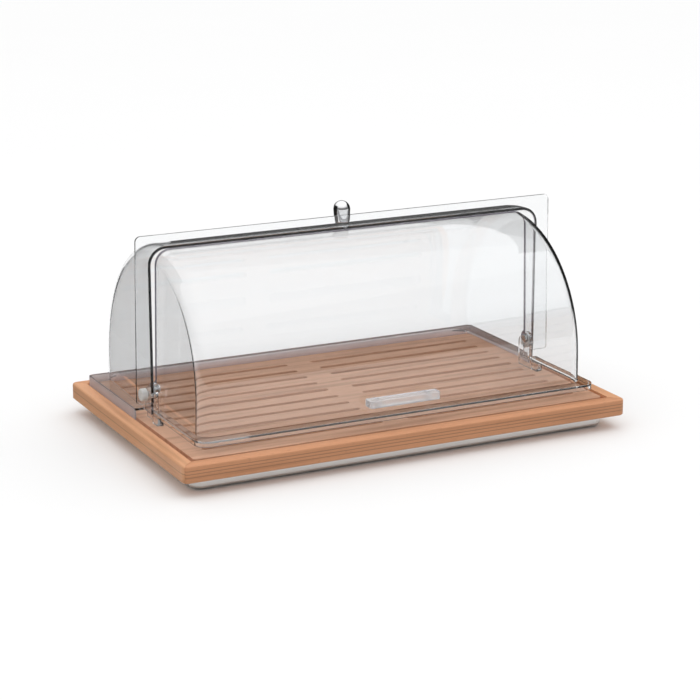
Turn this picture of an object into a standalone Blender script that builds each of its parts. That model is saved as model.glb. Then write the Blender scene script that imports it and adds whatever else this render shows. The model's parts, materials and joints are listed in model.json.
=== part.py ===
"""Bread display with a clear roll-top cover.

A slotted beech board lies loose in a beech frame over a sheet-metal crumb tray. A clear cover stands
on it: a fixed rear shell, lifted off by its knob, and a front shell that swings up and back inside it.
Metres, +Z up. +X runs along the front, the front faces -Y, and the feet stand on z = 0.
"""
import math

import bmesh
import bpy
from mathutils import Matrix, Vector

MM = 0.001
GAP = 0.3 * MM                      # clearance between faces that meet
PAST = 5 * MM                       # how far a cutter runs on past the face it opens

# Wooden frame, its rebate and the loose board
FRAME_LENGTH, FRAME_DEPTH, FRAME_HEIGHT = 565 * MM, 360 * MM, 20 * MM
FRAME_Z = 17 * MM                   # underside of the wood above the table
FRAME_CORNER = 7 * MM
RIM_WIDTH = 15 * MM                 # full-height rim outside the groove
LEDGE_HEIGHT = 8 * MM               # floor of the groove, which carries the board
LEDGE_REACH = 38.5 * MM             # outside face to the inner edge of the ledge
BOARD_INSET = 20.1 * MM             # outside face to the board's edge
SLOT_ROWS, SLOT_PITCH, SLOT_WIDTH = 10, 28.8 * MM, 7.6 * MM
SLOT_START, SLOT_END = 16 * MM, 240 * MM

# Crumb tray and its fixings
TRAY_LENGTH, TRAY_DEPTH, TRAY_WALL = 530 * MM, 325 * MM, 1.2 * MM
TRAY_Z = 2 * MM
TRAY_LIP = 12 * MM                  # return flange turned inwards under the wood
TRAY_CORNER, TRAY_BEND = 14 * MM, 4 * MM
TONGUE_HALF_ACROSS, TONGUE_HALF_ALONG, TONGUE_HALF_THICK = 12 * MM, 9 * MM, 2 * MM
TONGUE_INSET, TONGUE_CORNER = 19 * MM, 3 * MM    # inset: outside face of the frame to its middle
FOOT_X, FOOT_Y = 235 * MM, 135 * MM
SCREW_SPOTS = [(x * MM, y * MM) for x, y in
               ((-150, -156), (150, -156), (-150, 156), (150, 156), (-257, 0), (257, 0))]
SCREW_HOLE_R, SCREW_HEAD_R = 2.3 * MM, 4.3 * MM    # clearance hole and counterbore of the M4 screws

# Clear cover
WALL = 2.8 * MM
PIVOT_Y, PIVOT_Z = -12 * MM, FRAME_Z + 58 * MM
REAR_Y, REAR_Z, REAR_R, REAR_HALF = -13.5 * MM, FRAME_Z + 56.7 * MM, 168.2 * MM, 254.3 * MM
REAR_FILLET, REAR_OPEN, REAR_TAPER = 21 * MM, -15 * MM, 0.036
FRONT_Y, FRONT_Z, FRONT_R, FRONT_HALF = 6.2 * MM, FRAME_Z + 71.3 * MM, 149 * MM, 246 * MM
FRONT_FILLET, FRONT_OPEN = 17 * MM, -8 * MM
FRONT_TAPER = 0.02
EAR_R = 10 * MM
UPRIGHT_TOP, UPRIGHT_BOTTOM = FRAME_Z + 238.8 * MM, FRAME_Z + 43.5 * MM
UPRIGHT_HALF_TOP, UPRIGHT_HALF_BOTTOM = 269 * MM, 272.5 * MM
UPRIGHT_FACE = -17.5 * MM
SKIRT_HALF, SKIRT_BACK, SKIRT_START = 266.3 * MM, 163.8 * MM, 10 * MM   # centred in the groove
SKIRT_FLOOR, SKIRT_TOP = FRAME_Z + 8.3 * MM, FRAME_Z + 31 * MM
LIP_HALF, LIP_FRONT, LIP_END = 255 * MM, -158 * MM, -22 * MM
LIP_FLOOR, LIP_TOP = FRAME_Z + 30 * MM, FRAME_Z + 36.4 * MM

# Hinge, handle and knob
BRACKET_IN, BRACKET_OUT = 247.1 * MM, 250.3 * MM
BRACKET_FOOT = FRAME_Z + 20.3 * MM
CAP_Y, CAP_Z, CAP_R, CAP_LENGTH = 2 * MM, FRAME_Z + 49 * MM, 7.5 * MM, 7 * MM
PIN_R, SPIGOT_R, CLEAR = 2.5 * MM, 3 * MM, 0.3 * MM
HANDLE_LENGTH, HANDLE_DEPTH, HANDLE_HEIGHT = 90 * MM, 15 * MM, 9 * MM
HANDLE_Z = FRAME_Z + 50.5 * MM
HANDLE_SCREW_X = 32 * MM
KNOB_Y, KNOB_R = 8 * MM, 10.2 * MM
KNOB_BASE, KNOB_TOP = FRAME_Z + 226.3 * MM, FRAME_Z + 251 * MM
KNOB_DOME, KNOB_BORE = 10.5 * MM, 13 * MM
# radius and height of the knob's side below its dome: nearly straight, drawing in to the base
KNOB_SIDES = [(10 * MM, 10 * MM), (9.6 * MM, 5.5 * MM), (9.2 * MM, 1 * MM), (8.8 * MM, 0)]

BOARD_TOP = FRAME_Z + FRAME_HEIGHT
ARC_STEPS, FILLET_STEPS = 16, 4
SIDES = (("left", -1), ("right", 1))

SIDE_VIEW = Matrix(((0, 0, 1, 0), (1, 0, 0, 0), (0, 1, 0, 0), (0, 0, 0, 1)))    # outline in Y, Z; depth X
FRONT_VIEW = Matrix(((1, 0, 0, 0), (0, 0, -1, 0), (0, 1, 0, 0), (0, 0, 0, 1)))  # outline in X, Z; depth Y

for old in list(bpy.data.objects):
    bpy.data.objects.remove(old, do_unlink=True)
PARTS = bpy.data.collections.new("bread_display")
CUTTERS = bpy.data.collections.new("cutters")
bpy.context.scene.collection.children.link(PARTS)
bpy.context.scene.collection.children.link(CUTTERS)


# ---------------------------------------------------------------- materials
def finish(name, colour, roughness, metallic=0.0, transmission=0.0):
    material = bpy.data.materials.new(name)
    material.use_nodes = True
    shader = material.node_tree.nodes["Principled BSDF"]
    shader.inputs["Base Color"].default_value = (*colour, 1)
    shader.inputs["Roughness"].default_value = roughness
    shader.inputs["Metallic"].default_value = metallic
    shader.inputs["Transmission Weight"].default_value = transmission
    return material


LOOKS = {
    "beech": dict(colour=(0.60, 0.36, 0.20), roughness=0.55),
    "steel": dict(colour=(0.62, 0.63, 0.63), roughness=0.38, metallic=1.0),
    "chrome": dict(colour=(0.85, 0.85, 0.86), roughness=0.06, metallic=1.0),
    "clear": dict(colour=(0.93, 0.95, 0.95), roughness=0.04, transmission=1.0),
    "white": dict(colour=(0.88, 0.88, 0.86), roughness=0.35),
    "rubber": dict(colour=(0.05, 0.05, 0.05), roughness=0.8),
}


# ---------------------------------------------------------------- building blocks
def arc(centre, radius, start, end, steps):
    """Points on an arc, angles in degrees, both ends included."""
    points = []
    for step in range(steps + 1):
        angle = math.radians(start + (end - start) * step / steps)
        points.append((centre[0] + radius * math.cos(angle), centre[1] + radius * math.sin(angle)))
    return points


def rounded_box(x0, y0, x1, y1, radii, steps=5):
    """Plan outline with its own radius at each corner, from lower left anticlockwise."""
    corners = ((x0, y0, 1, 1, 180), (x1, y0, -1, 1, 270), (x1, y1, -1, -1, 0), (x0, y1, 1, -1, 90))
    points = []
    for (x, y, along_x, along_y, start), radius in zip(corners, radii):
        centre = (x + along_x * radius, y + along_y * radius)
        points += arc(centre, radius, start, start + 90, steps)
    return points


def tidy(shape):
    bmesh.ops.remove_doubles(shape, verts=shape.verts, dist=0.002 * MM)
    bmesh.ops.dissolve_limit(shape, angle_limit=math.radians(0.05), verts=shape.verts, edges=shape.edges)
    bmesh.ops.recalc_face_normals(shape, faces=shape.faces)


def extruded(outlines, low, high, view=None):
    """A bmesh of flat outlines extruded from low to high along the axis that the view looks down."""
    curve = bpy.data.curves.new("outline", "CURVE")
    curve.dimensions = "2D"
    curve.fill_mode = "BOTH"
    curve.extrude = (high - low) / 2
    for outline in outlines:
        spline = curve.splines.new("POLY")
        spline.points.add(len(outline) - 1)
        spline.use_cyclic_u = True
        for point, (across, up) in zip(spline.points, outline):
            point.co = (across, up, 0, 1)
    guide = bpy.data.objects.new("outline", curve)
    CUTTERS.objects.link(guide)
    evaluated = guide.evaluated_get(bpy.context.evaluated_depsgraph_get())
    mesh = bpy.data.meshes.new_from_object(evaluated)
    shape = bmesh.new()
    shape.from_mesh(mesh)
    bpy.data.objects.remove(guide)
    bpy.data.curves.remove(curve)
    bpy.data.meshes.remove(mesh)
    shape.transform(Matrix.Translation((0, 0, (low + high) / 2)))
    if view:
        shape.transform(view)
    tidy(shape)
    return shape


def soften(shape, chosen, radius, steps):
    """Rounds the edges whose two end points both pass the test."""
    edges = [edge for edge in shape.edges if chosen(edge.verts[0].co, edge.verts[1].co)]
    bmesh.ops.bevel(shape, geom=edges, offset=radius, segments=steps, profile=0.5, affect="EDGES",
                    clamp_overlap=True)
    return shape


def disc(radius, low, high, centre, axis="Z", steps=24):
    """A closed cylinder between two heights along an axis; centre gives its other two coordinates."""
    shape = bmesh.new()
    bmesh.ops.create_cone(shape, cap_ends=True, segments=steps, radius1=radius, radius2=radius,
                          depth=high - low)
    shape.transform(Matrix.Translation((0, 0, (low + high) / 2)))
    if axis == "X":
        shape.transform(Matrix.Rotation(math.radians(90), 4, "Y"))
        shape.transform(Matrix.Translation((0, centre[0], centre[1])))
    elif axis == "Y":
        shape.transform(Matrix.Rotation(math.radians(-90), 4, "X"))
        shape.transform(Matrix.Translation((centre[0], 0, centre[1])))
    else:
        shape.transform(Matrix.Translation((centre[0], centre[1], 0)))
    return shape


def mirrored(shape, side):
    """The shape, or its mirror image across X = 0 for the left side."""
    if side < 0:
        shape.transform(Matrix.Scale(-1, 4, Vector((1, 0, 0))))
        bmesh.ops.reverse_faces(shape, faces=shape.faces)
    return shape


def add(name, shape, look, origin=(0, 0, 0), parent=None):
    """Puts a bmesh that is in world coordinates into an object with its origin at a chosen point."""
    place = Vector(origin)
    shape.transform(Matrix.Translation(-place))
    mesh = bpy.data.meshes.new(name)
    shape.to_mesh(mesh)
    shape.free()
    mesh.shade_smooth()
    mesh.set_sharp_from_angle(angle=math.radians(30))
    mesh.materials.append(finish(name, **LOOKS[look]))
    part = bpy.data.objects.new(name, mesh)
    PARTS.objects.link(part)
    part.location = place
    if parent:
        part.parent = parent
        part.location = place - parent.location
    return part


def cutter(name, shape):
    mesh = bpy.data.meshes.new(name)
    shape.to_mesh(mesh)
    shape.free()
    tool = bpy.data.objects.new(name, mesh)
    tool.hide_render = True
    tool.display_type = "WIRE"
    CUTTERS.objects.link(tool)
    return tool


def cut(part, shape, operation="DIFFERENCE"):
    """Adds a Boolean to the part, with the shape as its tool."""
    tool = cutter(f"{part.name}_tool_{len(part.modifiers)}", shape)
    modifier = part.modifiers.new(f"{operation.lower()}_{len(part.modifiers)}", "BOOLEAN")
    modifier.operation = operation
    modifier.solver = "EXACT"
    modifier.object = tool
    return part


def turned(name, profile, look, origin, parent=None, steps=32):
    """A profile of (radius, height) pairs from top to bottom, turned about Z at the origin."""
    mesh = bpy.data.meshes.new(name)
    edges = [(n, n + 1) for n in range(len(profile) - 1)]
    if profile[0] == profile[-1]:
        profile = profile[:-1]
        edges[-1] = (len(profile) - 1, 0)
    mesh.from_pydata([(radius, 0, height) for radius, height in profile], edges, [])
    mesh.materials.append(finish(name, **LOOKS[look]))
    part = bpy.data.objects.new(name, mesh)
    PARTS.objects.link(part)
    part.location = Vector(origin)
    if parent:
        part.parent = parent
        part.location = Vector(origin) - parent.location
    screw = part.modifiers.new("turn", "SCREW")
    screw.angle = math.tau
    screw.steps = steps
    screw.render_steps = steps
    screw.use_merge_vertices = True
    screw.merge_threshold = 0.01 * MM
    screw.use_smooth_shade = True
    return part


def pivot(name, location):
    empty = bpy.data.objects.new(name, None)
    empty.location = location
    PARTS.objects.link(empty)
    return empty


# ---------------------------------------------------------------- wooden base
def frame_outline(inset, corner, steps=5):
    x, y = FRAME_LENGTH / 2 - inset, FRAME_DEPTH / 2 - inset
    return rounded_box(-x, -y, x, y, [corner] * 4, steps)


def square_outline(inset):
    x, y = FRAME_LENGTH / 2 - inset, FRAME_DEPTH / 2 - inset
    return [(-x, -y), (x, -y), (x, y), (-x, y)]


def mitre_wedge(side):
    """Plan outline of one rail's share of the frame, with its two 45 degree mitres."""
    past, inside, away = 6 * MM, 45 * MM, GAP / 2 * math.sqrt(2)
    x, y = FRAME_LENGTH / 2, FRAME_DEPTH / 2
    if side in ("front", "rear"):
        points = [(-x - past + away, -y - past), (x + past - away, -y - past),
                  (x - inside - away, -y + inside), (-x + inside + away, -y + inside)]
        return points if side == "front" else [(across, -along) for across, along in points][::-1]
    points = [(-x - past, y + past - away), (-x - past, -y - past + away),
              (-x + inside, -y + inside + away), (-x + inside, y - inside - away)]
    return points if side == "left" else [(-across, along) for across, along in points][::-1]


def corner_tongue(x_sign, y_sign, grow=0.0):
    """Loose tongue that bridges a mitre below the groove; grow makes its pocket."""
    half_across, half_along = TONGUE_HALF_ACROSS + grow, TONGUE_HALF_ALONG + grow
    half_thick = TONGUE_HALF_THICK + grow
    centre_x, centre_y = FRAME_LENGTH / 2 - TONGUE_INSET, FRAME_DEPTH / 2 - TONGUE_INSET
    middle = FRAME_Z + LEDGE_HEIGHT / 2
    shape = extruded([rounded_box(-half_across, -half_along, half_across, half_along,
                                  [TONGUE_CORNER] * 4, 3)],
                     middle - half_thick, middle + half_thick)
    shape.transform(Matrix.Rotation(math.radians(-45 * x_sign * y_sign), 4, "Z"))
    shape.transform(Matrix.Translation((x_sign * centre_x, y_sign * centre_y, 0)))
    return shape


def rail(side):
    top = FRAME_Z + FRAME_HEIGHT
    shape = extruded([frame_outline(0, FRAME_CORNER)], FRAME_Z, top)
    soften(shape, lambda a, b: a.z > top - MM and b.z > top - MM, 2.5 * MM, 3)
    soften(shape, lambda a, b: a.z < FRAME_Z + MM and b.z < FRAME_Z + MM, 1.2 * MM, 1)
    part = add(f"rail_{side}", shape, "beech")
    # each rail is rebated before it is mitred, so the groove and the opening have square corners
    cut(part, extruded([square_outline(RIM_WIDTH)], FRAME_Z + LEDGE_HEIGHT, top + PAST))
    cut(part, extruded([square_outline(LEDGE_REACH)], FRAME_Z - PAST, top))
    cut(part, extruded([mitre_wedge(side)], FRAME_Z - 4 * MM, top + 4 * MM), "INTERSECT")
    x_signs = {"left": (-1,), "right": (1,)}.get(side, (-1, 1))
    y_signs = {"front": (-1,), "rear": (1,)}.get(side, (-1, 1))
    for x_sign in x_signs:
        for y_sign in y_signs:
            cut(part, corner_tongue(x_sign, y_sign, GAP))
    for x, y in SCREW_SPOTS:
        on_side = "rear" if y > 0 else "front" if y < 0 else "right" if x > 0 else "left"
        if on_side == side:
            ledge = FRAME_Z + LEDGE_HEIGHT
            cut(part, disc(SCREW_HOLE_R, FRAME_Z - 5 * MM, ledge, (x, y), steps=16))
            cut(part, disc(SCREW_HEAD_R, ledge - 2.6 * MM, ledge + 5 * MM, (x, y), steps=20))
    return part


def crumb_tray():
    top = FRAME_Z - GAP
    half_x, half_y = TRAY_LENGTH / 2, TRAY_DEPTH / 2

    def pan(inset, radius, low, high, edge):
        x, y = half_x - inset, half_y - inset
        shape = extruded([rounded_box(-x, -y, x, y, [radius] * 4, 5)], low, high)
        return soften(shape, lambda a, b: a.z < low + MM / 10 and b.z < low + MM / 10, edge, 3)

    part = add("crumb_tray", pan(0, TRAY_CORNER, TRAY_Z, top, TRAY_BEND), "steel")
    cut(part, pan(TRAY_WALL, TRAY_CORNER - TRAY_WALL, TRAY_Z + TRAY_WALL, top - TRAY_WALL,
                  TRAY_BEND - TRAY_WALL))
    cut(part, extruded([rounded_box(-half_x + TRAY_LIP, -half_y + TRAY_LIP, half_x - TRAY_LIP,
                                    half_y - TRAY_LIP, [6 * MM] * 4, 3)], top - 3 * MM, top + 3 * MM))
    for x, y in SCREW_SPOTS:
        cut(part, disc(SCREW_HOLE_R, top - 4 * MM, top + 4 * MM, (x, y), steps=16))
    for x in (-FOOT_X, FOOT_X):
        for y in (-FOOT_Y, FOOT_Y):
            cut(part, disc(3.3 * MM, TRAY_Z - MM, TRAY_Z + 3 * MM, (x, y), steps=16))
    return part


def tray_screws():
    head_low = FRAME_Z + LEDGE_HEIGHT - 2.3 * MM
    for number, (x, y) in enumerate(SCREW_SPOTS, 1):
        profile = [(0, 2 * MM), (3 * MM, 2 * MM), (4 * MM, 1.2 * MM), (4 * MM, 0), (2 * MM, 0),
                   (2 * MM, -12 * MM), (1.4 * MM, -13 * MM), (0, -13 * MM)]
        turned(f"tray_screw_{number}", profile, "steel", (x, y, head_low), steps=16)


def feet():
    """Push-in rubber feet: a pad below the tray, a neck through its floor and a barb inside."""
    floor = TRAY_Z + TRAY_WALL
    profile = [(0, floor + 2.2 * MM), (3 * MM, floor + 2.2 * MM), (4.8 * MM, floor + GAP),
               (3 * MM, floor + GAP), (3 * MM, TRAY_Z - GAP), (9.5 * MM, TRAY_Z - GAP),
               (10 * MM, TRAY_Z - 0.8 * MM), (9.6 * MM, 0), (0, 0)]
    for end, x in (("left", -FOOT_X), ("right", FOOT_X)):
        for row, y in (("front", -FOOT_Y), ("rear", FOOT_Y)):
            turned(f"foot_{row}_{end}", profile, "rubber", (x, y, 0), steps=24)


def slot_outlines():
    """Round-ended slots in two columns, either side of the solid middle."""
    radius = SLOT_WIDTH / 2
    outlines = []
    for row in range(SLOT_ROWS):
        y = (row - (SLOT_ROWS - 1) / 2) * SLOT_PITCH
        for side in (-1, 1):
            low, high = sorted((side * SLOT_START, side * SLOT_END))
            outlines.append(arc((low + radius, y), radius, 90, 270, 6)
                            + arc((high - radius, y), radius, -90, 90, 6))
    return outlines


def slotted_board(parent):
    low = FRAME_Z + LEDGE_HEIGHT + GAP
    shape = extruded([frame_outline(BOARD_INSET, 4 * MM, 3)], low, BOARD_TOP)
    soften(shape, lambda a, b: a.z > BOARD_TOP - MM and b.z > BOARD_TOP - MM, MM, 1)
    part = add("slotted_board", shape, "beech", parent.location, parent)
    return cut(part, extruded(slot_outlines(), low - 3 * MM, BOARD_TOP + 3 * MM))


# ---------------------------------------------------------------- clear cover
def shell_outline(y, z, radius, facing, opening, foot, ear=False):
    """Side outline of a half barrel: its opening, an arc over the top, and a straight drop to the foot."""
    start = math.degrees(math.asin((opening - y) / (facing * radius)))
    top = [(y + facing * radius * math.sin(math.radians(angle)), z + radius * math.cos(math.radians(angle)))
           for angle in (start + (90 - start) * step / ARC_STEPS for step in range(ARC_STEPS + 1))]
    points = [(opening, foot)]
    if ear:
        spread = math.degrees(math.acos((opening - PIVOT_Y) / EAR_R))
        points += arc((PIVOT_Y, PIVOT_Z), EAR_R, -spread, spread, 8)
    return points + top + [(y + facing * radius, foot)]


def half_barrel(outline, half, fillet, opening, foot, narrowing):
    """A solid half barrel with rounded end corners; narrowing(y, z) is what each end draws in by."""
    shape = extruded([outline], -half, half, SIDE_VIEW)

    def near_ear(point):
        return math.hypot(point.y - PIVOT_Y, point.z - PIVOT_Z) < 1.1 * EAR_R

    def on_end_arc(a, b):
        middle = (a + b) / 2
        on_one_end = abs(abs(a.x) - half) < MM / 100 and abs(a.x - b.x) < MM / 100
        inside = middle.z > foot + MM / 100 and abs(middle.y - opening) > MM / 2
        return on_one_end and inside and not (near_ear(a) and near_ear(b))

    soften(shape, on_end_arc, fillet, FILLET_STEPS)
    for vert in shape.verts:
        vert.co.x *= 1 - narrowing(vert.co.y, vert.co.z) / half
    return shape


def rear_barrel(thickness, opening, foot):
    outline = shell_outline(REAR_Y, REAR_Z, REAR_R - thickness, 1, opening, foot)
    return half_barrel(outline, REAR_HALF - thickness, REAR_FILLET - thickness, opening, foot,
                       lambda y, z: REAR_TAPER * (y - REAR_OPEN))


def front_barrel(thickness, opening, foot, ear):
    outline = shell_outline(FRONT_Y, FRONT_Z, FRONT_R - thickness, -1, opening, foot, ear)
    return half_barrel(outline, FRONT_HALF - thickness, FRONT_FILLET - thickness, opening, foot,
                       lambda y, z: FRONT_TAPER * (z - PIVOT_Z))


def rear_shell(parent):
    part = add("rear_shell", rear_barrel(0, REAR_OPEN, FRAME_Z + 29 * MM), "clear", parent.location, parent)
    upright = extruded([rounded_box(-UPRIGHT_HALF_TOP, UPRIGHT_BOTTOM, UPRIGHT_HALF_TOP, UPRIGHT_TOP,
                                    [3 * MM, 3 * MM, 6 * MM, 6 * MM], 4)],
                       -UPRIGHT_FACE - WALL, -UPRIGHT_FACE, FRONT_VIEW)
    flare = (UPRIGHT_HALF_BOTTOM - UPRIGHT_HALF_TOP) / UPRIGHT_HALF_TOP / (UPRIGHT_TOP - UPRIGHT_BOTTOM)
    for vert in upright.verts:
        vert.co.x *= 1 + flare * (UPRIGHT_TOP - vert.co.z)
    cut(part, upright, "UNION")
    corner = 6 * MM
    cut(part, extruded([rounded_box(-SKIRT_HALF, SKIRT_START, SKIRT_HALF, SKIRT_BACK,
                                    [MM, MM, corner, corner], 4)], SKIRT_FLOOR, SKIRT_TOP), "UNION")
    cut(part, extruded([rounded_box(-SKIRT_HALF + WALL, SKIRT_START - 6 * MM, SKIRT_HALF - WALL,
                                    SKIRT_BACK - WALL, [MM, MM, corner - WALL, corner - WALL], 4)],
                       SKIRT_FLOOR - 5 * MM, SKIRT_TOP - WALL))
    cut(part, rear_barrel(WALL, REAR_OPEN - 10 * MM, SKIRT_FLOOR - 4 * MM))
    for _, side in SIDES:
        cut(part, mirrored(disc(SPIGOT_R + CLEAR, BRACKET_OUT - 4 * MM, REAR_HALF + 4 * MM,
                                (CAP_Y, CAP_Z), "X", 16), side))
    cut(part, disc(SCREW_HOLE_R, KNOB_BASE - 15 * MM, KNOB_BASE, (0, KNOB_Y), steps=16))
    return cut(part, disc(SCREW_HEAD_R, KNOB_BASE - 15 * MM, KNOB_BASE - 4 * MM, (0, KNOB_Y), steps=24))


def front_shell(parent):
    part = add("front_shell", front_barrel(0, FRONT_OPEN, LIP_TOP - 1.9 * MM, True), "clear",
               parent.location, parent)
    corner = 15 * MM
    cut(part, extruded([rounded_box(-LIP_HALF, LIP_FRONT, LIP_HALF, LIP_END,
                                    [corner, corner, 2 * MM, 2 * MM], 5)], LIP_FLOOR, LIP_TOP), "UNION")
    cut(part, extruded([rounded_box(-LIP_HALF + WALL, LIP_FRONT + WALL, LIP_HALF - WALL, LIP_END + 6 * MM,
                                    [corner - WALL, corner - WALL, MM, MM], 5)],
                       LIP_FLOOR - 5 * MM, LIP_TOP - WALL))
    cut(part, front_barrel(WALL, FRONT_OPEN + 14 * MM, LIP_FLOOR - 10 * MM, False))
    for _, side in SIDES:
        cut(part, mirrored(disc(PIN_R + CLEAR, FRONT_HALF - 8 * MM, FRONT_HALF + 4 * MM,
                                (PIVOT_Y, PIVOT_Z), "X", 16), side))
        front = FRONT_Y - FRONT_R
        cut(part, disc(SCREW_HOLE_R, front - 4 * MM, front + 8 * MM,
                       (side * HANDLE_SCREW_X, HANDLE_Z), "Y", 16))
    return part


# ---------------------------------------------------------------- hinge, handle and knob
def hinge_bracket(end, side, parent):
    """Clear bracket between the two shells. It carries the pin, and its toe is the front shell's stop."""
    toe_top, toe_front, heel = LIP_FLOOR - GAP, LIP_END - 12 * MM, -20 * MM
    outline = [(toe_front, BRACKET_FOOT), (9 * MM, BRACKET_FOOT)]
    outline += arc((CAP_Y, CAP_Z), 8 * MM, 0, 45, 3) + arc((PIVOT_Y, PIVOT_Z), 8 * MM, 60, 180, 6)
    outline += [(heel, toe_top), (toe_front, toe_top)]
    shape = mirrored(extruded([outline], BRACKET_IN, BRACKET_OUT, SIDE_VIEW), side)
    part = add(f"hinge_bracket_{end}", shape, "clear", parent.location, parent)
    toe = extruded([rounded_box(toe_front, BRACKET_FOOT, heel + MM, toe_top, [MM] * 4, 2)],
                   BRACKET_IN + MM, LIP_HALF - GAP, SIDE_VIEW)
    cut(part, mirrored(toe, side), "UNION")
    cut(part, mirrored(disc(PIN_R + CLEAR, BRACKET_IN - 3 * MM, BRACKET_OUT + 3 * MM,
                            (PIVOT_Y, PIVOT_Z), "X", 16), side))
    return cut(part, mirrored(disc(SPIGOT_R + CLEAR, BRACKET_IN - 3 * MM, BRACKET_OUT + 3 * MM,
                                   (CAP_Y, CAP_Z), "X", 16), side))


def turned_on_x(name, profile, look, place, side, parent):
    """A turned piece whose axis is X; its profile heights point outwards from the middle."""
    part = turned(name, profile, look, place, parent, steps=24)
    part.rotation_euler = (0, math.radians(90 * side), 0)
    return part


def hinge_pieces(end, side, rear):
    hinge_bracket(end, side, rear)
    cap_face = REAR_HALF - REAR_TAPER * (CAP_Y - CAP_R - REAR_OPEN) + GAP
    spigot_end = BRACKET_IN + GAP - cap_face
    cap = [(0, CAP_LENGTH), (CAP_R - 1.5 * MM, CAP_LENGTH), (CAP_R - 0.4 * MM, CAP_LENGTH - 0.5 * MM),
           (CAP_R, CAP_LENGTH - 1.5 * MM), (CAP_R, 0), (SPIGOT_R, 0), (SPIGOT_R, spigot_end),
           (0, spigot_end)]
    turned_on_x(f"hinge_cap_{end}", cap, "white", (side * cap_face, CAP_Y, CAP_Z), side, rear)
    head_out = FRONT_HALF - WALL - 0.5 * MM
    pin_end = BRACKET_OUT - GAP - head_out
    pin = [(0, pin_end), (PIN_R - 0.3 * MM, pin_end), (PIN_R, pin_end - 0.3 * MM), (PIN_R, 0), (5 * MM, 0),
           (5 * MM, -1.4 * MM), (4 * MM, -2.1 * MM), (0, -2.1 * MM)]
    turned_on_x(f"pivot_pin_{end}", pin, "steel", (side * head_out, PIVOT_Y, PIVOT_Z), side, rear)
    washer_in = FRONT_HALF + GAP
    inner, outer, thick = PIN_R + CLEAR, 6 * MM, 0.5 * MM
    ring = [(inner, thick), (outer, thick), (outer, 0), (inner, 0), (inner, thick)]
    turned_on_x(f"pivot_washer_{end}", ring, "white", (side * washer_in, PIVOT_Y, PIVOT_Z), side, rear)


def handle(parent):
    front = FRONT_Y - FRONT_R - GAP
    half = HANDLE_LENGTH / 2
    shape = extruded([rounded_box(-half, front - HANDLE_DEPTH, half, front, [4 * MM, 4 * MM, MM, MM], 4)],
                     HANDLE_Z - HANDLE_HEIGHT / 2, HANDLE_Z + HANDLE_HEIGHT / 2)
    soften(shape, lambda a, b: abs(a.z - b.z) < MM / 10 and a.y < front - 2 * MM and b.y < front - 2 * MM,
           1.6 * MM, 2)
    part = add("handle_bar", shape, "clear", parent.location, parent)
    for side in (-1, 1):
        cut(part, disc(SCREW_HOLE_R, front - 10 * MM, front + 5 * MM,
                       (side * HANDLE_SCREW_X, HANDLE_Z), "Y", 16))
    inner = FRONT_Y - FRONT_R + WALL + GAP
    profile = [(0, 2.2 * MM), (2.4 * MM, 2.2 * MM), (3.5 * MM, 1.2 * MM), (3.5 * MM, 0), (2 * MM, 0),
               (2 * MM, -11 * MM), (0, -11 * MM)]
    for end, side in SIDES:
        screw = turned(f"handle_screw_{end}", profile, "steel", (side * HANDLE_SCREW_X, inner, HANDLE_Z),
                       parent, steps=16)
        screw.rotation_euler = (math.radians(-90), 0, 0)


def knob(parent):
    height = KNOB_TOP - KNOB_BASE
    dome = [(0, height)]
    for step in range(1, 10):
        angle = math.radians(90 * step / 9)
        dome.append((KNOB_R * math.sin(angle), height - KNOB_DOME + KNOB_DOME * math.cos(angle)))
    bore = [(SCREW_HOLE_R, 0), (SCREW_HOLE_R, KNOB_BORE), (0, KNOB_BORE)]
    turned("knob", dome + KNOB_SIDES + bore, "chrome", (0, KNOB_Y, KNOB_BASE), parent)
    washer = turned("knob_washer", [(2.5 * MM, -GAP), (8 * MM, -GAP), (8 * MM, -6 * MM),
                                    (2.5 * MM, -6 * MM), (2.5 * MM, -GAP)],
                    "rubber", (0, KNOB_Y, KNOB_BASE), parent)
    cut(washer, disc(REAR_R + GAP, -20 * MM, 20 * MM, (REAR_Y, REAR_Z), "X", 256))
    seat = KNOB_BASE - 4.3 * MM
    turned("knob_screw", [(0, 15.5 * MM), (1.6 * MM, 15.5 * MM), (2 * MM, 15 * MM), (2 * MM, 0), (4 * MM, 0),
                          (4 * MM, -0.9 * MM), (3.2 * MM, -1.4 * MM), (0, -1.4 * MM)],
           "steel", (0, KNOB_Y, seat), parent, steps=20)


# ---------------------------------------------------------------- assembly
crumb_tray()
feet()
tray_screws()
for rail_side in ("front", "rear", "left", "right"):
    rail(rail_side)
for x_name, x_side in SIDES:
    for y_name, y_side in (("front", -1), ("rear", 1)):
        add(f"corner_tongue_{y_name}_{x_name}", corner_tongue(x_side, y_side), "beech")

board_lift = pivot("board_lift", (0, 0, BOARD_TOP))
cover_lift = pivot("cover_lift", (0, 0, BOARD_TOP))
front_swing = pivot("front_swing", (0, PIVOT_Y, PIVOT_Z))
slotted_board(board_lift)
rear_shell(cover_lift)
knob(cover_lift)
for end_name, end_side in SIDES:
    hinge_pieces(end_name, end_side, cover_lift)
front_shell(front_swing)
handle(front_swing)
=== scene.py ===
"""Looks of a bread display with a clear roll-top cover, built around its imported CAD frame.

Metres, in the CAD frame: +X runs along the front, the front faces -Y, and the feet stand on z = 0.
"""
import json
import math

import bmesh
import bpy
from mathutils import Matrix, Vector


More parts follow.
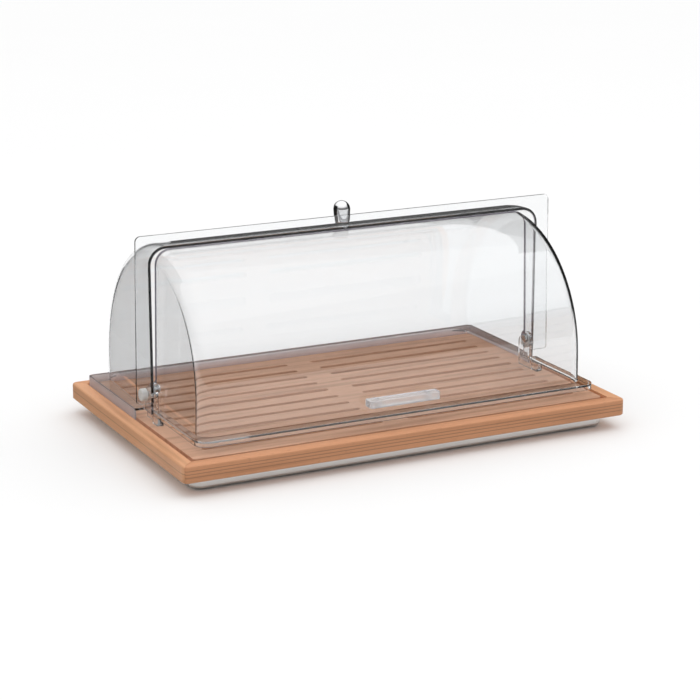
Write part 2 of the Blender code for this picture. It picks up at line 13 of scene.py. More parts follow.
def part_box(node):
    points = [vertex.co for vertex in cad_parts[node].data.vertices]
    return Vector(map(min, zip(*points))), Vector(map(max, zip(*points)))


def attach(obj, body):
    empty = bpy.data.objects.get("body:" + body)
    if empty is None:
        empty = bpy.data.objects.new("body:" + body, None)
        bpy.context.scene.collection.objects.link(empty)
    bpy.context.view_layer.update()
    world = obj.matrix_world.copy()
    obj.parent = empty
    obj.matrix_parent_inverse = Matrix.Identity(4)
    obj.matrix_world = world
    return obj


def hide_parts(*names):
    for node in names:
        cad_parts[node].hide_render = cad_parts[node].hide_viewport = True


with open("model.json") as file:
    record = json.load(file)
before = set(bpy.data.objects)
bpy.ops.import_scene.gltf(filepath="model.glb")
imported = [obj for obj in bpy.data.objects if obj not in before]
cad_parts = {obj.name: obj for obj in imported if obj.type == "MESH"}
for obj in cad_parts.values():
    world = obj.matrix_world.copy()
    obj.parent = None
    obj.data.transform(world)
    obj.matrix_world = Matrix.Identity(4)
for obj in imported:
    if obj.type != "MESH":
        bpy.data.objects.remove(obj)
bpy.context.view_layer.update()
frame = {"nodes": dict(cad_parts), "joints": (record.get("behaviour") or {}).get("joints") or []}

MM = 0.001

# ---------------------------------------------------------------- sizes, from the frame where it gives them
TRAY_LOW, TRAY_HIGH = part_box("crumb_tray")
BOARD_LOW, BOARD_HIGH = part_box("slotted_board")
REAR_LOW, REAR_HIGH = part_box("rear_shell")
FRONT_LOW, FRONT_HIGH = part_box("front_shell")
HANDLE_LOW, HANDLE_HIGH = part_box("handle_bar")
KNOB_LOW, KNOB_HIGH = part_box("knob")
PIVOT = Vector(next(j["pos_m"] for j in frame["joints"] if j["name"] == "front_swing"))

WOOD_FLOOR, WOOD_TOP = (corner.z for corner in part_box("rail_front"))
WALL = 2.8 * MM                     # of both clear shells
SCREW_HOLE_R = 2.3 * MM             # clearance round a screw
SCREW_HEAD_R = 4.3 * MM             # recess round a screw's head
SPIGOT_HOLE_R = 3.3 * MM            # clearance round the spigot of a foot or a hinge cap

SLOT_ROWS, SLOT_PITCH, SLOT_WIDTH = 10, 28.8 * MM, 7.6 * MM
SLOT_START, SLOT_END = 16 * MM, 240 * MM

REAR_Y, REAR_Z, REAR_R = -13.5 * MM, WOOD_FLOOR + 56.7 * MM, 168.2 * MM
REAR_HALF, REAR_FILLET, REAR_OPEN, REAR_TAPER = 254.3 * MM, 21 * MM, -15 * MM, 0.036
UPRIGHT_HALF_TOP, UPRIGHT_HALF_BOTTOM = 269 * MM, 272.5 * MM
UPRIGHT_BOTTOM, UPRIGHT_FACE = WOOD_FLOOR + 43.5 * MM, REAR_LOW.y
SKIRT_HALF, SKIRT_START, SKIRT_TOP = 266.3 * MM, 10 * MM, WOOD_FLOOR + 31 * MM

FRONT_Y, FRONT_Z, FRONT_R = 6.2 * MM, WOOD_FLOOR + 71.3 * MM, 149 * MM
FRONT_HALF, FRONT_FILLET, FRONT_OPEN, FRONT_TAPER = 246 * MM, 17 * MM, -8 * MM, 0.02
LIP_END, LIP_TOP, EAR_R, PIN_HOLE_R = -22 * MM, WOOD_FLOOR + 36.4 * MM, 10 * MM, 2.8 * MM

ARC_STEPS, FILLET_STEPS = 48, 7
SHARP = 30                          # degrees; a sharper edge keeps its crease
RIM_PAINTED_SHADE = 2.8 * MM                 # how far the front shell's painted dark edge (painted shade for the dark line of its cut edge) reaches from its opening
SIDE_VIEW = Matrix(((0, 0, 1, 0), (1, 0, 0, 0), (0, 1, 0, 0), (0, 0, 0, 1)))    # outline in Y, Z
FRONT_VIEW = Matrix(((1, 0, 0, 0), (0, 0, -1, 0), (0, 1, 0, 0), (0, 0, 0, 1)))  # outline in X, Z


# ---------------------------------------------------------------- shape helpers
def middle_of(node):
    low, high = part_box(node)
    return (low + high) / 2


def arc(centre, radius, start, end, steps):
    """Points on an arc, angles in degrees, both ends included."""
    angles = [math.radians(start + (end - start) * step / steps) for step in range(steps + 1)]
    return [(centre[0] + radius * math.cos(a), centre[1] + radius * math.sin(a)) for a in angles]


def rounded_box(x0, y0, x1, y1, radii, steps=8):
    """Plan outline with its own radius at each corner, from lower left anticlockwise."""
    corners = ((x0, y0, 1, 1, 180), (x1, y0, -1, 1, 270), (x1, y1, -1, -1, 0), (x0, y1, 1, -1, 90))
    points = []
    for (x, y, along_x, along_y, start), radius in zip(corners, radii):
        points += arc((x + along_x * radius, y + along_y * radius), radius, start, start + 90, steps)
    return points


def prism(outline, low, high, view=None):
    """A closed solid of a flat outline, from low to high along the axis that the view looks down."""
    shape = bmesh.new()
    rings = [[shape.verts.new((x, y, z)) for x, y in outline] for z in (low, high)]
    shape.faces.new(rings[0][::-1])
    shape.faces.new(rings[1])
    count = len(outline)
    for n in range(count):
        after = (n + 1) % count
        shape.faces.new((rings[0][n], rings[0][after], rings[1][after], rings[1][n]))
    if view:
        shape.transform(view)
    bmesh.ops.remove_doubles(shape, verts=shape.verts, dist=0.002 * MM)
    bmesh.ops.recalc_face_normals(shape, faces=shape.faces)
    return shape


def disc(radius, low, high, centre, axis, steps=32):
    """A round bar along one axis; the centre gives the two other coordinates."""
    shape = prism(arc((0, 0), radius, 0, 360 - 360 / steps, steps - 1), low, high)
    turn = {"X": Matrix.Rotation(math.radians(90), 4, "Y"), "Y": Matrix.Rotation(math.radians(-90), 4, "X"),
            "Z": Matrix.Identity(4)}[axis]
    place = {"X": (0, *centre), "Y": (centre[0], 0, centre[1]), "Z": (*centre, 0)}[axis]
    shape.transform(Matrix.Translation(place) @ turn)
    return shape


def soften(shape, chosen, radius, steps):
    """Rounds the edges whose two end points pass the test."""
    edges = [edge for edge in shape.edges if chosen(edge.verts[0].co, edge.verts[1].co)]
    bmesh.ops.bevel(shape, geom=edges, offset=radius, segments=steps, profile=0.5, affect="EDGES",
                    clamp_overlap=True)
    return shape


def turned(profile, steps=64):
    """A closed solid of revolution about Z, from (radius, height) pairs that start and end on the axis."""
    shape = bmesh.new()
    rings = []
    for radius, height in profile:
        if radius < 0.001 * MM:
            rings.append([shape.verts.new((0, 0, height))])
        else:
            rings.append([shape.verts.new((radius * math.cos(math.tau * n / steps),
                                           radius * math.sin(math.tau * n / steps), height))
                          for n in range(steps)])
    for upper, lower in zip(rings, rings[1:]):
        for n in range(steps):
            after = (n + 1) % steps
            face = [upper[n % len(upper)], lower[n % len(lower)],
                    lower[after % len(lower)], upper[after % len(upper)]]
            unique = [vert for k, vert in enumerate(face) if vert not in face[:k]]
            if len(unique) > 2:
                shape.faces.new(unique)
    bmesh.ops.recalc_face_normals(shape, faces=shape.faces)
    return shape


def piece(name, shape, material):
    mesh = bpy.data.meshes.new(name)
    shape.to_mesh(mesh)
    shape.free()
    made = bpy.data.objects.new(name, mesh)
    bpy.context.scene.collection.objects.link(made)
    mesh.materials.append(material)
    mesh.shade_smooth()
    mesh.set_sharp_from_angle(angle=math.radians(SHARP))
    return made


def carve(made, shape, operation="DIFFERENCE"):
    """Cuts the shape from the piece, or joins it on, and keeps the result as the piece's own mesh."""
    tool_mesh = bpy.data.meshes.new("tool")
    shape.to_mesh(tool_mesh)
    shape.free()
    tool = bpy.data.objects.new("tool", tool_mesh)
    bpy.context.scene.collection.objects.link(tool)
    modifier = made.modifiers.new("carve", "BOOLEAN")
    modifier.operation = operation
    modifier.solver = "EXACT"
    modifier.object = tool
    result = bpy.data.meshes.new_from_object(made.evaluated_get(bpy.context.evaluated_depsgraph_get()))
    made.modifiers.clear()
    old = made.data
    name = old.name
    made.data = result
    bpy.data.meshes.remove(old)
    result.name = name
    bpy.data.objects.remove(tool)
    bpy.data.meshes.remove(tool_mesh)


def polish(made, edge=0.0):
    """Evens a piece's shading and, where an edge width is given, rounds its sharp edges by it."""
    made.data.shade_smooth()
    made.data.set_sharp_from_angle(angle=math.radians(SHARP))
    if edge:
        bevel = made.modifiers.new("edges", "BEVEL")
        bevel.width = edge
        bevel.segments = 3
        bevel.limit_method = "ANGLE"
        bevel.angle_limit = math.radians(SHARP + 5)
        bevel.harden_normals = True
    even = made.modifiers.new("even", "WEIGHTED_NORMAL")
    even.keep_sharp = not edge
    even.weight = 80
    return made


def recolour_faces(made, material, chosen):
    """Gives a second material to the faces whose middle and normal pass the test."""
    made.data.materials.append(material)
    for face in made.data.polygons:
        if chosen(face.center, face.normal):
            face.material_index = len(made.data.materials) - 1


def split_at(made, place, normal):
    """Cuts the piece's faces along a plane, so that a second material can stop there."""
    shape = bmesh.new()
    shape.from_mesh(made.data)
    bmesh.ops.bisect_plane(shape, geom=shape.verts[:] + shape.edges[:] + shape.faces[:], dist=MM / 1000,
                           plane_co=place, plane_no=normal)
    shape.to_mesh(made.data)
    shape.free()


# ---------------------------------------------------------------- materials
class Nodes:
    """A material's node tree with short ways to add and join nodes."""

    def __init__(self, name):
        self.material = bpy.data.materials.new(name)
        self.material.use_nodes = True
        self.tree = self.material.node_tree
        self.shader = self.tree.nodes["Principled BSDF"]
        self.output = self.tree.nodes["Material Output"]

    def add(self, kind, **settings):
        node = self.tree.nodes.new(kind)
        for key, value in settings.items():
            if hasattr(node, key):
                setattr(node, key, value)
            else:
                node.inputs[key.replace("_", " ")].default_value = value
        return node

    def join(self, source, target):
        self.tree.links.new(source, target)

    def place(self, along=None, stretch=1.0):
        """The object's own coordinates, scaled along one axis; under 1 draws a pattern out along it."""
        scale = [1.0, 1.0, 1.0]
        if along:
            scale["XYZ".index(along)] = stretch
        mapping = self.add("ShaderNodeMapping")
        mapping.inputs["Scale"].default_value = scale
        self.join(self.add("ShaderNodeTexCoord").outputs["Object"], mapping.inputs["Vector"])
        return mapping.outputs["Vector"]

    def noise(self, vector, scale, detail=3.0, roughness=0.55):
        node = self.add("ShaderNodeTexNoise", Scale=scale, Detail=detail, Roughness=roughness)
        self.join(vector, node.inputs["Vector"])
        return node.outputs["Fac"]

    def ramp(self, factor, stops):
        node = self.add("ShaderNodeValToRGB")
        while len(node.color_ramp.elements) < len(stops):
            node.color_ramp.elements.new(0.5)
        for element, (place, colour) in zip(node.color_ramp.elements, stops):
            element.position = place
            element.color = (*colour, 1)
        self.join(factor, node.inputs["Fac"])
        return node.outputs["Color"]

    def mix(self, factor, a, b):
        node = self.add("ShaderNodeMix", data_type="RGBA")
        for source, socket in ((factor, node.inputs[0]), (a, node.inputs[6]), (b, node.inputs[7])):
            if isinstance(source, bpy.types.NodeSocket):
                self.join(source, socket)
            else:
                socket.default_value = source
        return node.outputs[2]

    def spread(self, factor, low, high):
        node = self.add("ShaderNodeMapRange")
        self.join(factor, node.inputs["Value"])
        node.inputs["To Min"].default_value = low
        node.inputs["To Max"].default_value = high
        return node.outputs["Result"]

    def bump(self, height, strength, distance):
        node = self.add("ShaderNodeBump", Strength=strength, Distance=distance)
        self.join(height, node.inputs["Height"])
        self.join(node.outputs["Normal"], self.shader.inputs["Normal"])

    def set(self, **values):
        """Sets sockets of the shader, with _ for each space in a socket's name."""
        for key, value in values.items():
            self.shader.inputs[key.replace("_", " ")].default_value = value


def glue_lines(n, joints):
    """A mask that is 1 on thin level lines, each at a share of the wood's height."""
    split = n.add("ShaderNodeSeparateXYZ")
    n.join(n.add("ShaderNodeTexCoord").outputs["Object"], split.inputs[0])
    height = n.add("ShaderNodeMapRange")
    n.join(split.outputs["Z"], height.inputs["Value"])
    height.inputs["From Min"].default_value, height.inputs["From Max"].default_value = WOOD_FLOOR, WOOD_TOP
    stops = [(0.0, (0, 0, 0))]
    for share in joints:
        stops += [(share - 0.035, (0, 0, 0)), (share, (0.85, 0.85, 0.85)), (share + 0.035, (0, 0, 0))]
    return n.ramp(height.outputs["Result"], stops)


def beech(name, along, light, dark, offset=0.0, joints=()):
    """Oiled beech with its grain along one axis: streaks, growth bands, beech's short dark flecks, and thin
    glue lines at the given shares of the frame's height."""
    n = Nodes(name)
    grain = n.place(along, 0.05)
    flecks = n.place(along, 0.16)
    bands = n.noise(grain, 75 + offset, 4.0, 0.6)
    fine = n.noise(grain, 620 + offset, 2.0, 0.5)
    spots = n.noise(flecks, 900 + offset, 1.0, 0.4)
    body = n.ramp(bands, ((0.30, dark), (0.52, light), (0.74, tuple(c * 1.07 for c in light))))
    streaked = n.mix(n.spread(fine, 0.0, 0.34), body, (*[c * 0.72 for c in light], 1))
    fleck_mask = n.ramp(spots, ((0.63, (0, 0, 0)), (0.70, (1, 1, 1))))
    amount = n.add("ShaderNodeMath", operation="MULTIPLY")
    n.join(fleck_mask, amount.inputs[0])
    amount.inputs[1].default_value = 0.26
    wood = n.mix(amount.outputs[0], streaked, (*[c * 0.5 for c in light], 1))
    if joints:
        wood = n.mix(glue_lines(n, joints), wood, (*[c * 0.42 for c in light], 1))
    n.join(wood, n.shader.inputs["Base Color"])
    n.join(n.spread(bands, 0.42, 0.58), n.shader.inputs["Roughness"])
    n.bump(fine, 0.16, 0.25 * MM)
    n.set(Specular_IOR_Level=0.4)
    return n.material


def clear_plastic(name, colour, roughness=0.012, milk=0.0):
    """Clear moulded plastic with real refraction; milk is the share of light that it scatters. Lamps reach
    what is behind it."""
    n = Nodes(name)
    n.set(Transmission_Weight=1.0 - milk, IOR=1.5)
    haze = n.noise(n.place(), 9.0, 2.0, 0.5)
    lighter = [min(1.0, c * 1.012) for c in colour]
    n.join(n.mix(haze, (*colour, 1), (*lighter, 1)), n.shader.inputs["Base Color"])
    n.join(n.spread(haze, roughness * 0.6, roughness * 1.4), n.shader.inputs["Roughness"])
    lamp_path = n.add("ShaderNodeLightPath")
    open_way = n.add("ShaderNodeBsdfTransparent")
    open_way.inputs["Color"].default_value = (*[c ** 0.5 for c in colour], 1)
    switch = n.add("ShaderNodeMixShader")
    n.join(lamp_path.outputs["Is Shadow Ray"], switch.inputs[0])
    n.join(n.shader.outputs[0], switch.inputs[1])
    n.join(open_way.outputs[0], switch.inputs[2])
    n.join(switch.outputs[0], n.output.inputs["Surface"])
    return n.material


def metal(name, colour, low, high, brushed=None):
    """Sheet or turned metal, its roughness from low to high; brushed names the axis of its scratches."""
    n = Nodes(name)
    scratches = n.noise(n.place(brushed, 0.015), 1500 if brushed else 420, 2.0, 0.6)
    cloud = n.noise(n.place(), 14.0, 3.0, 0.5)
    n.join(n.spread(scratches, low, high), n.shader.inputs["Roughness"])
    n.join(n.mix(n.spread(cloud, 0.0, 0.25), (*colour, 1), (*[c * 0.86 for c in colour], 1)),
           n.shader.inputs["Base Color"])
    n.bump(scratches, 0.05 if brushed else 0.015, 0.05 * MM)
    n.set(Metallic=1.0)
    return n.material


def moulded(name, colour, low, high, grain=700, depth=0.05):
    """Plain moulded plastic or rubber with a faint texture."""
    n = Nodes(name)
    texture = n.noise(n.place(), grain, 2.0, 0.5)
    cloud = n.noise(n.place(), 60.0, 2.0, 0.5)
    n.join(n.spread(texture, low, high), n.shader.inputs["Roughness"])
    n.join(n.mix(cloud, (*colour, 1), (*[c * 0.93 for c in colour], 1)), n.shader.inputs["Base Color"])
    n.bump(texture, depth, 0.05 * MM)
    return n.material


# The rails along X (front and rear) have darker colours than those along Y: painted shade on the front and
# rear rails
along_x = beech("beech_along_x", "X", (0.73, 0.345, 0.178), (0.51, 0.222, 0.102), 0.0, (0.33, 0.52, 0.70))
along_y = beech("beech_along_y", "Y", (0.82, 0.425, 0.228), (0.57, 0.268, 0.128), 11.0, (0.55,))
board_wood = beech("beech_board", "X", (0.72, 0.415, 0.272), (0.48, 0.250, 0.150), 23.0)
cover_clear = clear_plastic("clear_cover", (0.932, 0.940, 0.946))
# Dark, milky grey-violet for the shells' cut edges: painted shade, in place of the dark line that a clear
# edge shows
edge_painted_shade = clear_plastic("clear_cover_edge", (0.27, 0.25, 0.29), 0.25, 0.6)
# Milky mauve for the skirt: the mauve is a painted reflection, the colour of the wood that shows through
# and in the skirt
skirt_painted_reflection = clear_plastic("clear_skirt_painted_reflection", (0.76, 0.70, 0.71), 0.40, 0.35)
fitting_clear = clear_plastic("clear_fittings", (0.93, 0.94, 0.95), 0.03)
handle_clear = clear_plastic("clear_handle", (0.97, 0.97, 0.98), 0.07, 0.28)
tray_steel = metal("brushed_tray", (0.70, 0.71, 0.70), 0.28, 0.42, "X")
polished = metal("polished_chrome", (0.80, 0.80, 0.81), 0.03, 0.07)
screw_steel = metal("plain_steel", (0.60, 0.60, 0.61), 0.22, 0.34)
white = moulded("white_plastic", (0.86, 0.86, 0.84), 0.25, 0.35)
rubber = moulded("soft_rubber", (0.035, 0.035, 0.036), 0.7, 0.85, 300, 0.3)


# ---------------------------------------------------------------- CAD nodes that stay
def dress(node, material):
    kept = frame["nodes"][node]
    kept.data.materials.clear()
    kept.data.materials.append(material)


for node in frame["nodes"]:
    if node in ("rail_left", "rail_right"):
        dress(node, along_y)
    elif node.startswith(("rail_", "corner_tongue")):
        dress(node, along_x)
    elif node.startswith("foot_") or node == "knob_washer":
        dress(node, rubber)
    elif node.startswith("hinge_bracket"):
        dress(node, fitting_clear)
    elif node.startswith("pivot_washer"):
        dress(node, white)
    elif node.startswith(("tray_screw", "handle_screw", "pivot_pin", "knob_screw")):
        dress(node, screw_steel)


# ---------------------------------------------------------------- board and tray
def fine_board():
    x, y, corner, past = BOARD_HIGH.x, BOARD_HIGH.y, 4 * MM, 3 * MM
    outline = rounded_box(-x, -y, x, y, [corner] * 4)
    shape = prism(outline, BOARD_LOW.z, BOARD_HIGH.z)
    made = piece("beech_board", shape, board_wood)
    radius = SLOT_WIDTH / 2
    cutters = bmesh.new()
    for row in range(SLOT_ROWS):
        y = (row - (SLOT_ROWS - 1) / 2) * SLOT_PITCH
        for side in (-1, 1):
            low, high = sorted((side * SLOT_START, side * SLOT_END))
            slot = (arc((low + radius, y), radius, 90, 270, 12)
                    + arc((high - radius, y), radius, -90, 90, 12))
            tool = prism(slot, BOARD_LOW.z - past, BOARD_HIGH.z + past)
            mesh = bpy.data.meshes.new("slot")
            tool.to_mesh(mesh)
            tool.free()
            cutters.from_mesh(mesh)
            bpy.data.meshes.remove(mesh)
    carve(made, cutters)
    polish(made, 0.8 * MM)
    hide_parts("slotted_board")
    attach(made, "board")


def fine_tray():
    """A drawn sheet pan: round corners, a rolled bottom edge, and a flange under the wood."""
    x, y, low, top = TRAY_HIGH.x, TRAY_HIGH.y, TRAY_LOW.z, TRAY_HIGH.z
    wall, flange, corner, bend, mouth_corner = 1.2 * MM, 12 * MM, 14 * MM, 4 * MM, 6 * MM

    def pan(inset, z_low, z_high):
        outline = rounded_box(-x + inset, -y + inset, x - inset, y - inset, [corner - inset] * 4, 12)
        shape = prism(outline, z_low, z_high)
        on_floor = z_low + MM / 10
        return soften(shape, lambda a, b: a.z < on_floor and b.z < on_floor, bend - inset, 7)

    made = piece("drawn_tray", pan(0, low, top), tray_steel)
    carve(made, pan(wall, low + wall, top - wall))
    mouth = rounded_box(-x + flange, -y + flange, x - flange, y - flange, [mouth_corner] * 4)
    carve(made, prism(mouth, top - 3 * MM, top + 3 * MM))
    foot = middle_of("foot_rear_right")
    for side_x in (-1, 1):
        for side_y in (-1, 1):
            place = (side_x * foot.x, side_y * foot.y)
            carve(made, disc(SPIGOT_HOLE_R, low - MM, low + 3 * MM, place, "Z", 24))
    for number in range(1, 7):
        screw = middle_of(f"tray_screw_{number}")
        carve(made, disc(SCREW_HOLE_R, top - 4 * MM, top + 4 * MM, (screw.x, screw.y), "Z", 24))
    polish(made)
    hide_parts("crumb_tray")
    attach(made, "base")


# ---------------------------------------------------------------- clear shells
def shell_outline(y, z, radius, facing, opening, foot, ear=False):
    """Side outline of a half barrel: its opening, an arc over the top, and a straight drop to the foot."""
    start = math.degrees(math.asin((opening - y) / (facing * radius)))
    angles = [math.radians(start + (90 - start) * step / ARC_STEPS) for step in range(ARC_STEPS + 1)]
    top = [(y + facing * radius * math.sin(a), z + radius * math.cos(a)) for a in angles]
    points = [(opening, foot)]
    if ear:
        spread = math.degrees(math.acos((opening - PIVOT.y) / EAR_R))
        points += arc((PIVOT.y, PIVOT.z), EAR_R, -spread, spread, 16)
    return points + top + [(y + facing * radius, foot)]


def half_barrel(outline, half, fillet, opening, foot, narrowing):
    """A solid half barrel with rounded end corners; narrowing(y, z) is what each end draws in by."""
    shape = prism(outline, -half, half, SIDE_VIEW)

    def near_ear(point):
        return math.hypot(point.y - PIVOT.y, point.z - PIVOT.z) < 1.1 * EAR_R

    def on_end_arc(a, b):
        middle = (a + b) / 2
        on_one_end = abs(abs(a.x) - half) < MM / 100 and abs(a.x - b.x) < MM / 100
        inside = middle.z > foot + MM / 100 and abs(middle.y - opening) > MM / 2
        return on_one_end and inside and not (near_ear(a) and near_ear(b))

    soften(shape, on_end_arc, fillet, FILLET_STEPS)
    for vert in shape.verts:
        vert.co.x *= 1 - narrowing(vert.co.y, vert.co.z) / half
    return shape


def rear_barrel(inset, opening, foot):
    """The rear shell's barrel: its outside at inset 0, its hollow at an inset of the wall."""
    outline = shell_outline(REAR_Y, REAR_Z, REAR_R - inset, 1, opening, foot)
    return half_barrel(outline, REAR_HALF - inset, REAR_FILLET - inset, opening, foot,
                       lambda y, z: REAR_TAPER * (y - REAR_OPEN))


def front_barrel(inset, opening, foot, ear):
    """The front shell's barrel, as the rear one; the ear holds the pin."""
    outline = shell_outline(FRONT_Y, FRONT_Z, FRONT_R - inset, -1, opening, foot, ear)
    return half_barrel(outline, FRONT_HALF - inset, FRONT_FILLET - inset, opening, foot,
                       lambda y, z: FRONT_TAPER * (z - PIVOT.z))


def through_ends(half):
    """Where a drill passes through a shell's left and right end walls, along X."""
    return (-half - 4 * MM, -half + 8 * MM), (half - 8 * MM, half + 4 * MM)


def fine_rear_shell():
    corner, back, floor = 6 * MM, REAR_HIGH.y, REAR_LOW.z
    made = piece("clear_rear_shell", rear_barrel(0, REAR_OPEN, SKIRT_TOP - 2 * MM), cover_clear)
    outline = rounded_box(-UPRIGHT_HALF_TOP, UPRIGHT_BOTTOM, UPRIGHT_HALF_TOP, REAR_HIGH.z,
                          [corner / 2, corner / 2, corner, corner])
    upright = prism(outline, -UPRIGHT_FACE - WALL, -UPRIGHT_FACE, FRONT_VIEW)
    height = REAR_HIGH.z - UPRIGHT_BOTTOM
    flare = (UPRIGHT_HALF_BOTTOM - UPRIGHT_HALF_TOP) / UPRIGHT_HALF_TOP / height
    for vert in upright.verts:
        vert.co.x *= 1 + flare * (REAR_HIGH.z - vert.co.z)
    carve(made, upright, "UNION")
    carve(made, prism(rounded_box(-SKIRT_HALF, SKIRT_START, SKIRT_HALF, back, [MM, MM, corner, corner]),
                      floor, SKIRT_TOP), "UNION")
    carve(made, prism(rounded_box(-SKIRT_HALF + WALL, SKIRT_START - 6 * MM, SKIRT_HALF - WALL, back - WALL,
                                  [MM, MM, corner - WALL, corner - WALL]),
                      floor - 5 * MM, SKIRT_TOP - WALL))
    carve(made, rear_barrel(WALL, REAR_OPEN - 10 * MM, floor - 4 * MM))
    cap = middle_of("hinge_cap_right")
    for low, high in through_ends(REAR_HALF):
        carve(made, disc(SPIGOT_HOLE_R, low, high, (cap.y, cap.z), "X"))
    knob_place, knob_under = (0, middle_of("knob").y), KNOB_LOW.z - 15 * MM
    carve(made, disc(SCREW_HOLE_R, knob_under, KNOB_LOW.z, knob_place, "Z"))
    carve(made, disc(SCREW_HEAD_R, knob_under, KNOB_LOW.z - 4 * MM, knob_place, "Z"))
    split_at(made, (0, UPRIGHT_FACE + WALL, 0), (0, 1, 0))
    split_at(made, (0, 0, SKIRT_TOP), (0, 0, 1))
    # The skirt's ends and back get the mauve: painted reflection of the wood beneath
    recolour_faces(made, skirt_painted_reflection, lambda c, n: c.y > SKIRT_START and c.z < SKIRT_TOP
         and (abs(c.x) > REAR_HALF - 9 * MM or c.y > back - 13 * MM))
    # The strip round the rear shell's opening gets the dark edge material: painted shade for the dark line
    # of its cut edge
    recolour_faces(made, edge_painted_shade, lambda c, n: c.y < UPRIGHT_FACE + WALL and abs(n.y) < 0.7
         and c.z > UPRIGHT_BOTTOM - 8 * MM and abs(c.x) < REAR_HALF and c.z < REAR_HIGH.z - 10 * MM)
    polish(made)
    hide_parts("rear_shell")
    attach(made, "rear_cover")


def drill_handle_holes(made, near, far):
    for end in ("left", "right"):
        place = (middle_of(f"handle_screw_{end}").x, middle_of("handle_bar").z)
        carve(made, disc(SCREW_HOLE_R, near, far, place, "Y"))


def fine_front_shell():
    made = piece("clear_front_shell", front_barrel(0, FRONT_OPEN, LIP_TOP - 1.9 * MM, True), cover_clear)
    corner, half, front, floor = 15 * MM, FRONT_HIGH.x, FRONT_LOW.y, FRONT_LOW.z
    carve(made, prism(rounded_box(-half, front, half, LIP_END, [corner, corner, 2 * MM, 2 * MM], 12),
                      floor, LIP_TOP), "UNION")
    inner = corner - WALL
    carve(made, prism(rounded_box(-half + WALL, front + WALL, half - WALL, LIP_END + 6 * MM,
                                  [inner, inner, MM, MM], 12), floor - 5 * MM, LIP_TOP - WALL))
    carve(made, front_barrel(WALL, FRONT_OPEN + 14 * MM, floor - 10 * MM, False))
    for low, high in through_ends(FRONT_HALF):
        carve(made, disc(PIN_HOLE_R, low, high, (PIVOT.y, PIVOT.z), "X"))
    drill_handle_holes(made, HANDLE_HIGH.y - 4 * MM, HANDLE_HIGH.y + 8 * MM)
    # The strip along the front shell's opening gets the dark edge material: painted shade for the dark line
    # of its cut edge
    split_at(made, (0, FRONT_OPEN - RIM_PAINTED_SHADE, 0), (0, 1, 0))
    recolour_faces(made, edge_painted_shade, lambda c, n: c.y > FRONT_OPEN - RIM_PAINTED_SHADE and c.z > LIP_TOP + 30 * MM)
    polish(made)
    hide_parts("front_shell")
    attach(made, "front_cover")


# ---------------------------------------------------------------- knob, caps and handle
def fine_knob():
    """A bullet: a domed top, sides that draw in towards the foot, and a blind bore for the screw."""
    height, radius = KNOB_HIGH.z - KNOB_LOW.z, (KNOB_HIGH.x - KNOB_LOW.x) / 2
    dome, bore, steps = 10.5 * MM, 13 * MM, 24
    angles = [math.radians(90 * step / steps) for step in range(1, steps + 1)]
    profile = [(0, height)] + [(radius * math.sin(a), height - dome + dome * math.cos(a)) for a in angles]
    profile += [(10 * MM, 10 * MM), (9.6 * MM, 5.5 * MM), (9.2 * MM, 1 * MM), (8.8 * MM, 0)]
    profile += [(SCREW_HOLE_R, 0), (SCREW_HOLE_R, bore), (0, bore)]
    shape = turned(profile)
    shape.transform(Matrix.Translation((0, middle_of("knob").y, KNOB_LOW.z)))
    made = polish(piece("chrome_knob", shape, polished))
    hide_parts("knob")
    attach(made, "rear_cover")


def fine_cap(end, side):
    """A white hinge cap with a rounded rim and a spigot into the bracket."""
    low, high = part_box(f"hinge_cap_{end}")
    radius, length, edge, spigot_r = (high.z - low.z) / 2, 7 * MM, 1.6 * MM, 3 * MM
    spigot = length - (high.x - low.x)
    rim = arc((radius - edge, length - edge), edge, 90, 0, 8)
    shape = turned([(0, length)] + rim + [(radius, 0), (spigot_r, 0), (spigot_r, spigot), (0, spigot)], 48)
    shape.transform(Matrix.Rotation(math.radians(90 * side), 4, "Y"))
    outer, middle = high.x if side > 0 else low.x, middle_of(f"hinge_cap_{end}")
    shape.transform(Matrix.Translation((outer - side * length, middle.y, middle.z)))
    made = polish(piece(f"white_cap_{end}", shape, white))
    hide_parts(f"hinge_cap_{end}")
    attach(made, "rear_cover")


def fine_handle():
    low, high, front_corner = HANDLE_LOW, HANDLE_HIGH, 4 * MM
    outline = rounded_box(low.x, low.y, high.x, high.y, [front_corner, front_corner, MM, MM])
    made = piece("clear_handle", prism(outline, low.z, high.z), handle_clear)
    drill_handle_holes(made, high.y - 10 * MM, high.y + 5 * MM)
    polish(made, 1.1 * MM)
    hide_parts("handle_bar")
    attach(made, "front_cover")


fine_board()
fine_tray()
fine_rear_shell()
fine_front_shell()
fine_knob()
for end_name, end_side in (("left", -1), ("right", 1)):
    fine_cap(end_name, end_side)
fine_handle()


# ---------------------------------------------------------------- stage, light and camera
HORIZON, BELOW = 0.10, 0.44         # grey levels of the surroundings at the horizon and under it
DOME, KEY = 1.37, 5                 # strength of the surroundings; watts of the lamp
FLAG_NEAR, FLAG_FAR = 0.36, 0.372   # faces of the upright flags, from the middle of the object


def pale_floor():
    """A white floor. It doesn't light the object; the grey level under the horizon does that instead."""
    size = 30.0
    shape = prism([(-size, -size), (size, -size), (size, size), (-size, size)], -0.01, 0.0)
    n = Nodes("pale_floor")
    cloud = n.noise(n.place(), 2.0, 2.0, 0.5)
    n.join(n.mix(cloud, (0.93, 0.93, 0.93, 1), (0.94, 0.94, 0.94, 1)), n.shader.inputs["Base Color"])
    n.set(Roughness=0.9, Specular_IOR_Level=0.0)
    floor = piece("pale_floor", shape, n.material)
    floor.visible_diffuse = False


def soft_light(name, place, aim, size, power):
    lamp = bpy.data.lights.new(name, "AREA")
    lamp.shape = "RECTANGLE"
    lamp.size, lamp.size_y = size
    lamp.energy = power
    made = bpy.data.objects.new(name, lamp)
    made.location = place
    made.rotation_euler = (Vector(aim) - Vector(place)).to_track_quat("-Z", "Y").to_euler()
    bpy.context.scene.collection.objects.link(made)


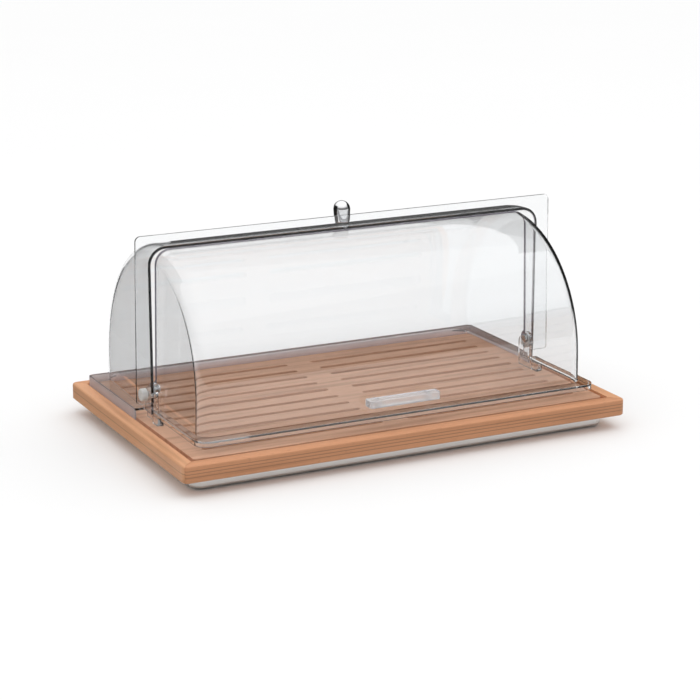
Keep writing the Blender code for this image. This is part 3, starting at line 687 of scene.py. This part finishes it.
def surroundings():
    """A bright dome overhead that falls off to a dark horizon, grey below it, one soft lamp, and three
    black flags: one beside each end and one on the floor at the left."""
    world = bpy.data.worlds.new("studio")
    bpy.context.scene.world = world
    world.use_nodes = True
    tree = world.node_tree
    split = tree.nodes.new("ShaderNodeSeparateXYZ")
    tree.links.new(tree.nodes.new("ShaderNodeTexCoord").outputs["Generated"], split.inputs[0])
    height = tree.nodes.new("ShaderNodeMapRange")
    height.inputs["From Min"].default_value = -1.0
    tree.links.new(split.outputs["Z"], height.inputs["Value"])
    ramp = tree.nodes.new("ShaderNodeValToRGB")
    ramp.color_ramp.interpolation = "EASE"
    stops = ((0.0, BELOW), (0.46, BELOW), (0.5, HORIZON), (0.625, HORIZON * 1.6), (0.81, 0.85), (1.0, 1.0))
    while len(ramp.color_ramp.elements) < len(stops):
        ramp.color_ramp.elements.new(0.5)
    for element, (place, grey) in zip(ramp.color_ramp.elements, stops):
        element.position = place
        element.color = (grey, grey, grey, 1)
    tree.links.new(height.outputs["Result"], ramp.inputs["Fac"])
    background = tree.nodes["Background"]
    tree.links.new(ramp.outputs["Color"], background.inputs["Color"])
    background.inputs["Strength"].default_value = DOME
    soft_light("key", (0.5, -0.5, 2.6), (0, 0, 0.1), (2.6, 2.2), KEY)
    black_flag("flag_left", -FLAG_FAR, -FLAG_NEAR, 0.0, 0.5)
    black_flag("flag_left_floor", -FLAG_NEAR, -0.290, 0.0, 0.003)
    black_flag("flag_right", FLAG_NEAR, FLAG_FAR, -0.10, 0.5)


def black_flag(name, x_low, x_high, near, top):
    """A black card from near to far in Y. It shows only on paths that have been reflected at least once, so
    it darkens what the clear walls and the chrome mirror and is never seen itself."""
    n = Nodes(name)
    n.join(n.mix(n.noise(n.place(), 3.0), (0.02, 0.02, 0.02, 1), (0.03, 0.03, 0.03, 1)),
           n.shader.inputs["Base Color"])
    n.set(Roughness=1.0, Specular_IOR_Level=0.0)
    path = n.add("ShaderNodeLightPath")
    reflected = n.add("ShaderNodeMath", operation="GREATER_THAN")
    n.join(path.outputs["Glossy Depth"], reflected.inputs[0])
    reflected.inputs[1].default_value = 0.5
    switch = n.add("ShaderNodeMixShader")
    n.join(reflected.outputs[0], switch.inputs[0])
    n.join(n.add("ShaderNodeBsdfTransparent").outputs[0], switch.inputs[1])
    n.join(n.shader.outputs[0], switch.inputs[2])
    n.join(switch.outputs[0], n.output.inputs["Surface"])
    far = 1.5
    flag = piece(name, prism([(x_low, near), (x_high, near), (x_high, far), (x_low, far)], 0.002, top),
                 n.material)
    flag.visible_camera = False
    flag.visible_diffuse = False
    flag.visible_shadow = False


def camera():
    """The photograph's view, solved from the frame's corners, grooves and slots."""
    view = bpy.data.cameras.new("camera")
    view.lens, view.sensor_width = 111.49, 36.0
    view.clip_start, view.clip_end = 0.05, 100.0
    made = bpy.data.objects.new("camera", view)
    made.location = (-1.1082, -2.2341, 0.7901)
    made.rotation_euler = (math.radians(74.26), 0, math.radians(-26.529))
    bpy.context.scene.collection.objects.link(made)
    bpy.context.scene.camera = made


pale_floor()
surroundings()
camera()
scene = bpy.context.scene
scene.view_settings.view_transform = "Standard"
scene.view_settings.look = "None"
